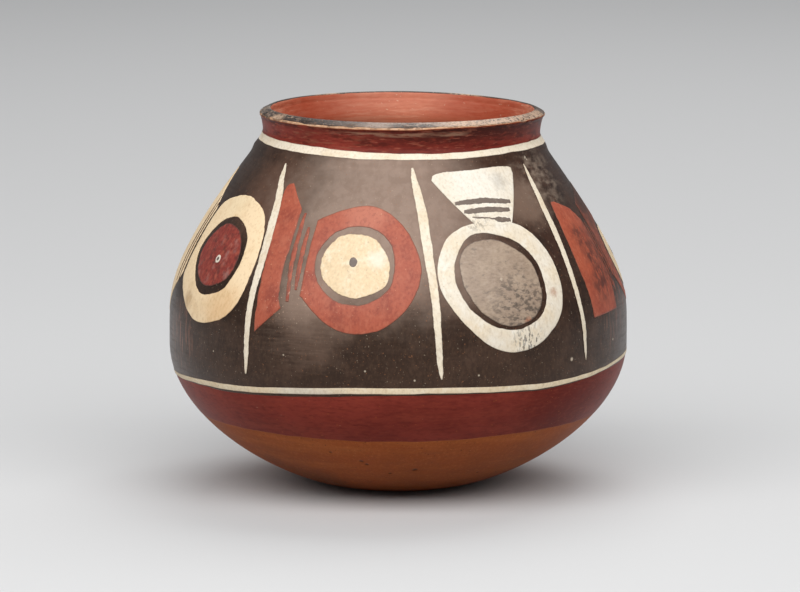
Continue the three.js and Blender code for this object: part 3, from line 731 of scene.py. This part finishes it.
# The tan marks: a cream-tan ring and tail round a deep red disc with a small white dot, painted on
# the dark ground in thick slip. Two thin brown lines run down the tail beside the ring.
MARK_MIDDLE = 115.5
PAINT_ON_PAINT = (0.27, 0.34)
OUTLINE_STEPS = 140
TAN_MARKS = [("left", -59.2), ("back", 190.5)]
TAN_RING = [
    (0, 22.6), (8, 20.5), (13.5, 16.3), (16.7, 8), (17, -3), (14.8, -14.5), (9, -20.8),
    (0, -23), (-7, -20), (-14.8, -11.5), (-16.1, -7), (-16.4, 3), (-16.2, 12), (-14.3, 17.6), (-8, 21),
]
TAN_HOLE = [
    (-0.5, 14.3), (6, 12.3), (10.3, 7.5), (11.6, 0.5), (10.5, -6), (7.5, -11.3),
    (0, -13.7), (-5, -11), (-9.5, -5), (-11.8, 0), (-10.8, 5.5), (-7, 11.3),
]
TAN_DISC = [
    (-0.5, 11.4), (5.5, 9.8), (9.3, 4.5), (10.1, -1.5), (8.5, -7), (4, -10),
    (-1, -10.6), (-6, -7.5), (-10, -0.5), (-8.8, 5.5), (-5, 10),
]
TAN_DOT = (1.5, -1.2)
TAN_TAIL = (
    [(-17.4, -9.5), (-17.9, 2), (-17.6, 14)],
    [(-30.5, -25), (-32.5, -20), (-33, 2), (-32.5, 25), (-30.5, 30)],
)
TAIL_LINES = [
    [(-19.1, -12), (-19.4, 2), (-19.1, 17)],
    [(-21.6, -13), (-21.9, 2), (-21.6, 19)],
]
TAIL_LINE_HALF = 0.62


def degree_width(slant):
    """How many millimetres a degree is wide at a slant: the radius there times a degree's arc."""
    return section(slant, 0)[0] * np.pi / 180


def aside(line, distance, closed=False):
    """A line moved sideways over the wall by distances in millimetres, to the right of its way."""
    wide = degree_width(line[:, 1])
    way = np.roll(line, -1, 0) - np.roll(line, 1, 0) if closed else np.gradient(line, axis=0)
    way = way * np.stack([wide, np.ones_like(wide)], -1)
    way = way / np.linalg.norm(way, axis=1, keepdims=True)
    return line + distance[:, None] * np.stack([way[:, 1] / wide, -way[:, 0]], -1)


def drawn(angle, points, seed, size=0.22, closed=False):
    """A line through points told from the mark's middle, with the tremor of the brush."""
    count = OUTLINE_STEPS if closed else OUTLINE_STEPS // 2
    line = through(points, count, closed) + (angle, MARK_MIDDLE)
    return aside(line, tremor(count, size, seed), closed)


def disc_points(line, under, over, pitch=1.4):
    """A filled outline: rings of places from its middle out over the top, round the rim and back below."""
    middle = line.mean(0)
    reach = np.abs(line - middle)[:, 1].max()
    count = max(3, int(np.ceil(reach / pitch)))
    inset = min(COAT_RIM / reach, 0.2)
    over_top, below = np.linspace(0, 1 - inset, count)[1:], np.linspace(1, 0, count)[1:-1]
    share = np.concatenate([[0.02], over_top, [1 - RIM_STEP * inset, 1], below, [0.02]])
    lift = np.concatenate([np.ones(count), [RIM_LIFT, 0], np.zeros(count - 1)])
    spread = middle + (line[:, None] - middle) * share[:, None]
    made = on_wall(spread[..., 0], spread[..., 1], under + (over - under) * lift)
    return np.concatenate([made, np.broadcast_to((1 - share)[:, None] * reach, (*made.shape[:2], 1))], -1)


def dot(node, place, across, up, seed, finish, slot, layers=PAINT_ON_PAINT, stands_for=True):
    """A small oval touch of the brush, told by its half width and half height, with a tremor."""
    turn = np.linspace(0, 2 * np.pi, 40, endpoint=False)
    wide = degree_width(place[1])
    line = np.stack([place[0] + across / wide * np.sin(turn), place[1] + up * np.cos(turn)], -1)
    line = aside(line, tremor(len(line), 0.12, seed), True)
    piece(node, disc_points(line, *layers, pitch=0.4), False, finish, slot, stands_for=stands_for)


def mark(panel, angle, seed, outlines, edges, paint, filling, tail_layers=PAINT):
    """A mark: a ring of paint between a hole and a rim, a disc in the hole, and a broad tail ruled between a
    near and a far edge. Its paint and its filling are each a finish and a slot; the slots are not used."""
    hole, rim, filled = (drawn(angle, points, seed + k, closed=True) for k, points in enumerate(outlines))
    near, far = (drawn(angle, points, seed + 3 + k) for k, points in enumerate(edges))
    piece(f"{panel}_ring", coat(on_wall, hole, rim, *PAINT, pitch=1.4), True, *paint)
    piece(f"{panel}_disc", disc_points(filled, *PAINT), False, *filling)
    piece(f"{panel}_tail", coat(on_wall, near, far, *tail_layers, False, 1.4), False, *paint)


def stroke(node, line, half, seed, finish, slot, layers=PAINT, size=0.15, stands_for=True):
    """One stroke of the brush along a line, as wide to each side as its half widths and a tremor say."""
    sides = [aside(line, way * half + tremor(len(line), size, seed + k)) for k, way in enumerate((-1, 1))]
    piece(node, coat(on_wall, *sides, *layers, False, 0.6), False, finish, slot, stands_for=stands_for)


# Cream tan, more orange to the lower right, with a few grey smudges and brush streaks
tan = Finish("tan paint", "#f7dcb4", 0.52)
for _, angle in TAN_MARKS:
    tan.patch("#dba668", 0.5, (angle + 10, 96), 15, 0.6, 6)
    tan.patch("#f1dcb4", 0.6, (angle - 4, 137), 13, 0.6, 6)
    tan.patch("#a68460", 0.55, (angle - 7, 99), 4.5, 1.0, 2)
tan.mottle("#dcb988", 0.5, 0.48, 0.7, 7, 6, 5)
tan.mottle("#8a6a4c", 0.5, 0.7, 0.76, 0.7, 17, 2)
tan.grain("#f4dcb6", "#c39a68", 0.9, 0.35)
tan.thin_edge("#8a6a4e", 0.25, 0.6)
tan.shine(0.4)
tan.relief(tan.cloud(0.9, 0, 5), 0.05)

# Deep red, worn in pale criss-cross scratches and dark scuffs
deep_red = Finish("deep red paint", "#8a342a", 0.45)
deep_red.mottle("#5b2a24", 0.7, 0.47, 0.64, 3.5, 3, 6)
deep_red.mottle("#a8503c", 0.6, 0.5, 0.68, 2.4, 18, 6, 1, 0.5)
deep_red.mottle("#a58178", 0.5, 0.53, 0.68, 5, 22, 6, 1, 0.6)
deep_red.grain("#b3604c", "#55231d", 0.9, 0.5)
deep_red.thin_edge("#4a2c24", 0.6, 0.8)
deep_red.relief(deep_red.cloud(0.9, 0, 5), 0.05)


def flat_finish(name, colour, lighter, darker):
    """A small touch of one paint, with lighter and darker clouds."""
    made = Finish(name, colour, 0.55)
    made.mottle(lighter, 0.6, 0.5, 0.7, 2, 3)
    made.mottle(darker, 0.6, 0.56, 0.7, 1.1, 12, 4)
    made.relief(made.cloud(0.9), 0.04)
    return made


white_dot = flat_finish("white dot paint", "#ded3c2", "#efe8da", "#a2978a")
dot_middle = flat_finish("dot middle paint", "#6d6058", "#8b7d73", "#453a34")
tail_line = flat_finish("brown line paint", "#573827", "#76523a", "#3c271c")
for panel, angle in TAN_MARKS:
    seed = 100 + int(angle) % 97
    place = (angle + TAN_DOT[0], MARK_MIDDLE + TAN_DOT[1])
    mark(panel, angle, seed, (TAN_HOLE, TAN_RING, TAN_DISC), TAN_TAIL,
         (tan, "tan_paint"), (deep_red, "deep_red_paint"))
    dot(f"{panel}_dot", place, 1.35, 1.45, seed + 5, white_dot, "white_paint")
    dot(f"{panel}_dot_middle", place, 0.6, 0.65, seed + 6, dot_middle, "grey_paint", (0.36, 0.4), False)
    for number, points in enumerate(TAIL_LINES, 1):
        line = drawn(angle, points, seed + 7, 0.1)
        half = TAIL_LINE_HALF * np.sin(np.linspace(0.1, np.pi - 0.1, len(line))) ** 0.4
        stroke(f"{panel}_tail_line_{number}", line, half, seed + 9 + number, tail_line, "dark_slip",
               PAINT_ON_PAINT, 0.1, False)

# The red marks: a broad red ring and pointed tail round a cream disc with a dark dot. Two fine red
# strokes stand between tail and ring, rubbed almost through to the dark ground.
RED_RING = [
    (0, 22.8), (7, 20.6), (13, 14), (16.5, 4), (16.3, -4), (13, -12.5), (7, -19.2),
    (0, -21.5), (-7, -19), (-14.3, -10.5), (-15.1, -7.5), (-15.1, 14.5), (-14.4, 17.3), (-8, 20.8),
]
RED_HOLE = [
    (-1.5, 15.2), (4, 13.8), (8, 9.5), (9.6, 3), (9.3, -2), (7.5, -7.5), (2.5, -11.5),
    (-1.5, -12), (-6, -10.3), (-10.5, -5.5), (-12.5, 1), (-12, 6.5), (-8.5, 12.5),
]
RED_DISC = [
    (-1, 12.4), (4, 10.6), (7.4, 5), (8.3, -0.5), (7, -5.8), (2, -9.2),
    (-1.5, -9.7), (-6, -7.7), (-9.9, -3), (-10.9, 2), (-9.7, 7.2), (-6.5, 11.4),
]
RED_DOT = (-1.8, 2.4)
RED_TAIL = (
    [(-20, -14.3), (-21, -10.5), (-21.7, -2), (-21.5, 7.5), (-21.9, 20.3)],
    [(-27.3, -22.8), (-27.4, -12.5), (-28.3, 0.5), (-30.2, 15), (-32, 26.5), (-31.4, 28.8), (-29.5, 29.6)],
)
RED_STROKES = [
    [(-18.4, -12), (-18.9, -6), (-19.7, 4), (-20.1, 19)],
    [(-16.6, -8), (-17.1, 4), (-17.3, 14)],
]
WIDE_RED_RING = [(across * (1.14 if across < 0 else 0.97), up) for across, up in RED_RING]
WIDE_RED_TAIL = (
    [(-20.9, -20.5), (-20.9, -3), (-20.7, 9.5), (-22.4, 13.2), (-25, 16.2)],
    [(-34.8, -21.3), (-35.5, -12), (-36.1, -4), (-36, 6.5), (-35.3, 15.5), (-34.5, 19.7), (-32.5, 20)],
)
WIDE_RED_STROKES = [
    [(-19.8, -13), (-19.9, 0), (-19.7, 10)],
    [(-18.2, -9), (-18.3, 0), (-18.2, 8)],
]
LOW_DISC = 6.5
FRONT_RED = RED_RING, RED_TAIL, RED_STROKES, 0.85, 0
WIDE_RED = WIDE_RED_RING, WIDE_RED_TAIL, WIDE_RED_STROKES, 0.62, LOW_DISC
RED_MARKS = [("front", -10.5, FRONT_RED), ("far_right", 92.5, WIDE_RED), ("back_left", 241.5, FRONT_RED)]


def red_finish(name, worn_through=0):
    """Brick red, blotched and grained darker, with fine pale specks, a painted highlight on top of the front
    ring, and thin at its edges. On the far mark it is rubbed down in dark upright scrapes. Where it is worn
    through, the dark ground shows."""
    made = Finish(name, "#a9533b", 0.5)
    made.mottle("#843627", 0.6, 0.46, 0.66, 6, 7, 5)
    made.mottle("#b7684e", 0.55, 0.5, 0.7, 4, 13, 4, 1, 0.5)
    made.patch("#ad4e2c", 0.5, (58, 118), 22, 0.8, 7)
    # Painted highlight on top of the front mark's ring
    made.patch("#c88068", 0.5, (-10, 137), 13, 0.7, 5)
    made.grain("#b66c52", "#75342a", 0.9, 0.42)
    scrapes = made.blotches(0.44, 0.6, 1.1, 5, 5, 1, 0.12)
    made.patch("#54332a", 0.8, (77, 112), 26, 0.5, 6, scrapes)
    made.patch("#6b4034", 0.5, (76, 118), 15, 0.8, 4)
    smudges = made.blotches(0.4, 0.58, 2.2, 66, 6, 1, 0.5)
    for degrees, slant, reach in [(64, 122, 6), (68, 109, 9), (64, 104, 7), (66, 115, 7)]:
        made.patch("#4f271f", 0.75, (degrees, slant), reach, 0.9, 3, smudges)
    made.mottle("#dcae88", 0.7, 0.74, 0.79, 0.6, 35, 1)
    flecks = made.blotches(0.67, 0.74, 0.6, 35, 1)
    made.patch("#e0bca2", 0.6, (-28, 104), 13, 0.9, 4, flecks)
    if worn_through:
        made.mottle("#5b463c", 0.55, 0.5 - worn_through, 0.62, 1.6, 43, 6, 1, 0.35)
    else:
        made.thin_edge("#6e4a3c", 0.6, 0.45)
    made.patch("#38281f", 0.92, (85, 135), 19, 0.6, 4)
    made.shine(0.4)
    made.relief(made.cloud(0.9, 0, 5), 0.05)
    return made


red, faint_red = red_finish("red paint"), red_finish("rubbed red paint", 0.06)
disc_cream = cream_finish("disc cream paint", "#e8cea7")
# Painted highlight on the right of the front mark's cream disc
disc_cream.patch("#f6efe2", 0.5, (-5.5, 119), 5, 0.9, 2.5)
for panel, angle, (rim, edges, strokes, broad, drop) in RED_MARKS:
    seed = 200 + int(angle) % 97
    place = (angle + RED_DOT[0], MARK_MIDDLE + RED_DOT[1] - drop)
    hole, filled = ([(across, up - drop) for across, up in points] for points in (RED_HOLE, RED_DISC))
    mark(panel, angle, seed, (hole, rim, filled), edges,
         (red, "red_paint"), (disc_cream, "cream_paint"))
    dot(f"{panel}_dot", place, 1.35, 1.7, seed + 5, dot_middle, "dark_slip")
    for number, points in enumerate(strokes, 1):
        line = drawn(angle, points, seed + 6 + number, 0.1)
        half = broad * np.sin(np.linspace(0.2, np.pi - 0.2, len(line))) ** 0.4
        stroke(f"{panel}_stroke_{number}", line, half, seed + 9 + number, faint_red, "red_paint")

# The white marks: a white ring with a wide tail above it, barred in dark slip, round a grey disc
# that is rubbed and specked with soot.
WHITE_RING = [
    (0, 16), (8, 14.9), (14, 10.3), (17.8, 1), (17.9, -9), (15, -19), (8.5, -26.5),
    (1, -28.7), (-6, -26), (-13, -17.5), (-17.6, -8), (-18.3, 0.5), (-15, 10), (-8.5, 14.9),
]
WHITE_HOLE = [
    (-4, 12), (1, 11.2), (6.5, 8.3), (10.5, 3.2), (12.3, -2.5), (12, -11), (9.5, -17),
    (4, -20.8), (-1, -21), (-6, -18.6), (-10.8, -13.2), (-13.4, -6.2), (-13.6, 0.5), (-11.5, 6.3), (-8, 10.7),
]
WHITE_DISC = [
    (-3.4, 9.6), (2, 8.5), (7.5, 4), (10.5, -2), (10.3, -12), (7.2, -17.7),
    (2, -20), (-3, -19), (-8, -14.5), (-11.4, -7), (-12.1, 0), (-11.2, 4.8), (-8.2, 8.4),
]
WHITE_TAIL = (
    [(-4.5, 14.6), (0, 14.4), (7.7, 14.2)],
    [(-17.5, 32.2), (-15, 34.7), (0, 35.7), (15.8, 35.7), (17.2, 33)],
)
WHITE_BARS = [
    [(-10.2, 23.3), (0, 23.8), (10.4, 22.6)],
    [(-7.7, 20), (0, 20.4), (8.9, 19.7)],
    [(-5.3, 17.9), (0, 17.3), (3.5, 16.5), (7.8, 15.9)],
]
WHITE_TAIL_PAINT = (0.18, 0.27)
BAR_HALF = 1.0
BROKEN_BAR = [(0, 0.25), (0.55, 0.3), (0.68, 1), (1, 1)]
WHITE_MARKS = [("right", 28.9), ("back_right", 131)]

# Off white, warmer to the lower left, with black specks where soot caught and an orange stain
white = Finish("white paint", "#e6dac6", 0.55)
white.mottle("#e2cba6", 0.5, 0.45, 0.68, 11, 5, 4)
white.mottle("#f1ebdf", 0.5, 0.5, 0.7, 5, 11)
for _, angle in WHITE_MARKS:
    white.patch("#f0eade", 0.7, (angle, 147), 15, 0.6, 5)
    white.patch("#aca396", 0.45, (angle + 9, 146), 5, 1.2, 2)
for _, angle in WHITE_MARKS:
    specks = white.blotches(0.5, 0.58, 1.0, 8, 4, 1, 0.5)
    white.patch("#3f342c", 0.85, (angle + 5, 90), 8, 0.8, over=specks)
    white.patch("#b07a58", 0.6, (angle + 14.6, 105), 2.2, 1.3, 1)
    white.patch("#8e8376", 0.6, (angle - 4, 132), 6, 0.9, over=specks)
white.mottle("#857a6d", 0.5, 0.68, 0.74, 0.7, 19)
white.grain("#f7f1e6", "#b5a48c", 0.9, 0.35)
white.thin_edge("#8a7a68", 0.25, 0.6)
white.shine(0.4)
white.relief(white.cloud(0.9, 0, 5), 0.06)

# Brownish grey, rubbed light in the middle and mottled with soot and a few rust specks
grey = Finish("grey paint", "#9c8672", 0.42)
grey.mottle("#b8a28b", 0.5, 0.42, 0.66, 7, 3, 4)
grey.grain("#b3a090", "#655749", 0.7, 0.42, 0.5, 1)
grey.mottle("#4c423b", 0.45, 0.58, 0.7, 1.5, 12, 6, 0.45)
for _, angle in WHITE_MARKS:
    sooty = grey.blotches(0.46, 0.6, 1.2, 31, 6, 0.6)
    grey.patch("#463c35", 0.75, (angle + 4, 101), 17, 0.8, 5, sooty)
    grey.patch("#a9613f", 0.6, (angle + 5, 96.5), 2, 1.2, 0.8)
grey.thin_edge("#4b3d34", 0.5, 0.7)
grey.relief(grey.cloud(0.9, 0, 5, 0.5), 0.08)

bar_paint = flat_finish("dark bar paint", "#6f6055", "#8d7e71", "#4d4138")
worn_dot = flat_finish("rubbed dot paint", "#b5a18d", "#cdbca8", "#7f6d5d")
for panel, angle in WHITE_MARKS:
    seed = 300 + int(angle) % 97
    mark(panel, angle, seed, (WHITE_HOLE, WHITE_RING, WHITE_DISC), WHITE_TAIL,
         (white, "white_paint"), (grey, "grey_paint"), WHITE_TAIL_PAINT)
    worn = (angle - 0.9, 111)
    dot(f"{panel}_worn_dot", worn, 0.6, 0.55, seed + 5, worn_dot, "white_paint", stands_for=False)
    for number, points in enumerate(WHITE_BARS, 1):
        line = drawn(angle, points, seed + 6 + number, 0.15)
        half = BAR_HALF * np.sin(np.linspace(0.25, np.pi - 0.25, len(line))) ** 0.3
        if number == len(WHITE_BARS):
            half = half * np.interp(np.linspace(0, 1, len(line)), *np.array(BROKEN_BAR).T)
        stroke(f"{panel}_bar_{number}", line, half, seed + 9 + number, bar_paint, "dark_slip", PAINT_ON_PAINT)

# The dividers: long cream brush strokes that part the panels, pressed wide above their middle and
# lifted to a point at both ends. The one beside the left mark runs over the edge of its ring.
DIVIDERS = {
    "left": [(-40.2, 78.3), (-40, 90), (-39.8, 100), (-39.8, 110), (-40, 117), (-40.6, 124), (-41.9, 132),
             (-43.3, 138.5), (-45.3, 143.5), (-47.3, 148), (-48.6, 151.8)],
    "front": [(10.6, 79.2), (10.2, 85), (10, 90), (9.7, 97), (9.4, 105), (8.8, 115), (8.2, 125), (7.5, 135),
              (6.5, 142), (5.3, 148), (4.7, 152.6)],
    "right": [(53.3, 80.8), (53, 88), (52.5, 95), (52, 103), (52, 110), (52.5, 120), (52.8, 130),
              (53.2, 138), (53.9, 146), (54.2, 151)],
    "far_right": [(111, 81), (110.6, 100), (110.3, 118), (109.6, 136), (108, 152)],
    "back_right": [(154.6, 80.5), (154, 100), (153.4, 118), (152.5, 136), (151, 152.5)],
    "back": [(210.4, 79.5), (210.3, 100), (209.8, 118), (207.6, 136), (203, 152)],
    "back_left": [(262, 78), (261.4, 98), (260.8, 117), (259.8, 135), (258, 152)],
}
chalk_paint = cream_finish("chalky cream paint", "#e9dcc6")
DIVIDER_WIDTHS = [
    (0, 0.25), (0.03, 0.7), (0.1, 1.05), (0.25, 1.25), (0.5, 1.6), (0.72, 1.72), (0.88, 1.45), (0.96, 0.95),
    (1, 0.3),
]
DIVIDER_SHARE = {"left": 0.95, "right": 0.82}

for number, (panel, places) in enumerate(DIVIDERS.items()):
    line = through(places, OUTLINE_STEPS)
    half = np.interp(np.linspace(0, 1, OUTLINE_STEPS), *np.array(DIVIDER_WIDTHS).T)
    half = half * DIVIDER_SHARE.get(panel, 1)
    stroke(f"{panel}_divider", line, half, 400 + 3 * number, chalk_paint, "cream_paint", PAINT_ON_PAINT, 0.2)

# Light, floor and camera: a plain pale floor under a wide soft lamp in front and a smaller one behind,
# seen from the photograph's place, 2 m in front and a little above the bowl.
FLOOR_CORNERS = [(-6, -4, 0), (6, -4, 0), (6, 12, 0), (-6, 12, 0)]
FLOOR_LIT, FLOOR_SEEN = 0.38, 0.6
WORLD_COLOUR, WORLD_STRENGTH = (0.9, 0.92, 0.95, 1), 0.22
CAMERA_PLACE = (0.00065, -1.977, 0.3659)
CAMERA_TARGET = (0.00065, 0, 0.06375)
CAMERA_LENS = 264.4


def placed(name, data, place, target):
    """A lamp or camera at a place in metres, turned towards a target."""
    made = added(name, data)
    made.location = place
    made.rotation_euler = (Vector(target) - made.location).to_track_quat("-Z", "Y").to_euler()
    return made


def soft_lamp(name, place, target, size, power):
    """A rectangular lamp, its size in metres and its power in watts."""
    lamp = placed(name, bpy.data.lights.new(name, "AREA"), place, target).data
    lamp.shape = "RECTANGLE"
    lamp.size, lamp.size_y = size
    lamp.energy = power


def pale_floor():
    """A wide floor. The camera and mirrored rays see it pale, and it throws less light onto the bowl."""
    mesh = bpy.data.meshes.new("floor")
    mesh.from_pydata(FLOOR_CORNERS, [], [(0, 1, 2, 3)])
    floor = added("floor", mesh)
    ground = Finish("pale floor", "#cccccc", 0.9)
    ray = ground.node("ShaderNodeLightPath").outputs
    mirrored = ground.sum("MAXIMUM", ray["Is Glossy Ray"], ray["Is Transmission Ray"])
    seen = ground.sum("MAXIMUM", ray["Is Camera Ray"], mirrored)
    shades = {"Fac": seen, "Color1": (*[FLOOR_LIT] * 3, 1), "Color2": (*[FLOOR_SEEN] * 3, 1)}
    ground.tree.links.new(ground.node("ShaderNodeMixRGB", shades).outputs[0], ground.shader["Base Color"])
    mesh.materials.append(ground.material)


pale_floor()
soft_lamp("wide front lamp", (-0.05, -0.98, 1.12), (0, 0, 0.06), (3.4, 1.15), 39)
soft_lamp("back lamp", (0.3, 1.1, 1.7), (0, 0.3, 0.06), (1.6, 1.2), 18)
world = bpy.data.worlds.new("studio")
world.use_nodes = True
background = world.node_tree.nodes["Background"].inputs
background["Color"].default_value = WORLD_COLOUR
background["Strength"].default_value = WORLD_STRENGTH
bpy.context.scene.world = world
bpy.context.scene.view_settings.view_transform = "Standard"
camera = placed("camera", bpy.data.cameras.new("camera"), CAMERA_PLACE, CAMERA_TARGET)
camera.data.lens = CAMERA_LENS
bpy.context.scene.camera = camera
